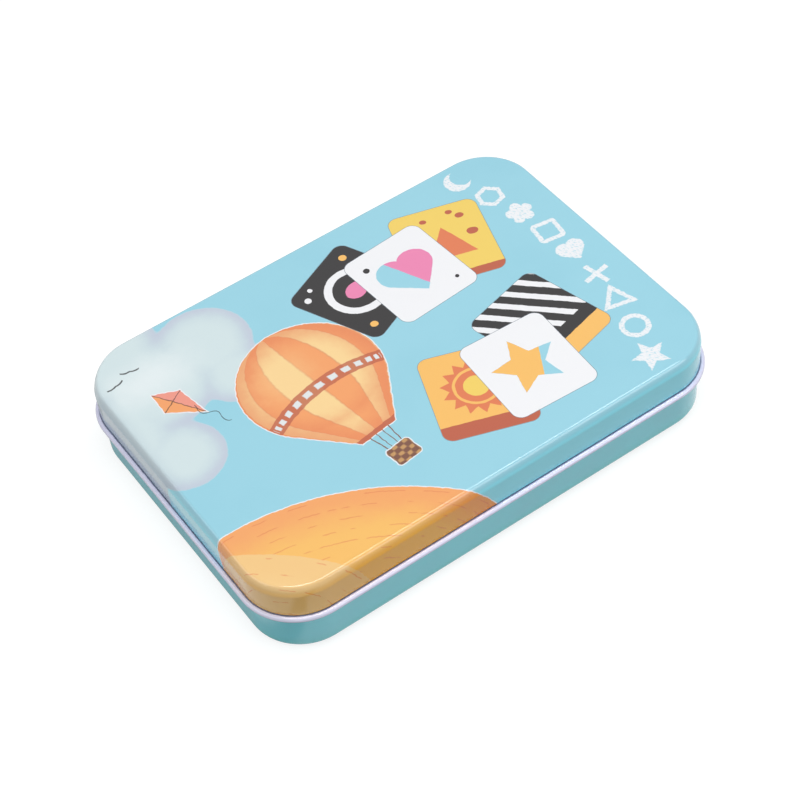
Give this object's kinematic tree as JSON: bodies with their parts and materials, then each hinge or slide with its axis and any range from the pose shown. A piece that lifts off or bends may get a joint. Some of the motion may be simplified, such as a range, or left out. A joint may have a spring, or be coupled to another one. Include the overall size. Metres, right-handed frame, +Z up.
{
  "type": "hinged card game tin",
  "caption": "Rounded rectangular tinplate box with a rolled rim bead and a full-width hinged lid, holding stacks of picture cards and die-cut window cards.",
  "frame": {"origin": "centre of the underside of the closed tin, where it stands on the table", "axes": "+X along the length, +Y towards the hinge at the back, +Z up out of the lid"},
  "size_m": [0.1398, 0.1007, 0.0244],
  "materials": {
    "base_tinplate": "gloss",
    "lid_tinplate": "gloss",
    "card_board": "satin",
    "leaflet_paper": "matt"
  },
  "bodies": {
    "base": {"base_pan": "base_tinplate", "rules_leaflet": "leaflet_paper", "picture_card_01": "card_board", "picture_card_02": "card_board", "picture_card_03": "card_board", "picture_card_04": "card_board", "picture_card_05": "card_board", "picture_card_06": "card_board", "picture_card_07": "card_board", "picture_card_08": "card_board", "picture_card_09": "card_board", "picture_card_10": "card_board", "window_card_01": "card_board", "window_card_02": "card_board", "window_card_03": "card_board", "window_card_04": "card_board", "window_card_05": "card_board", "window_card_06": "card_board", "window_card_07": "card_board", "window_card_08": "card_board", "window_card_09": "card_board", "window_card_10": "card_board"},
    "lid": {"lid": "lid_tinplate"}
  },
  "joints": [
    {"name": "lid_hinge", "type": "hinge", "parent": "base", "child": "lid", "pos_m": [0, 0.0494, 0.01327], "axis": [-1, 0, 0], "range_deg": [0, 180]}
  ]
}
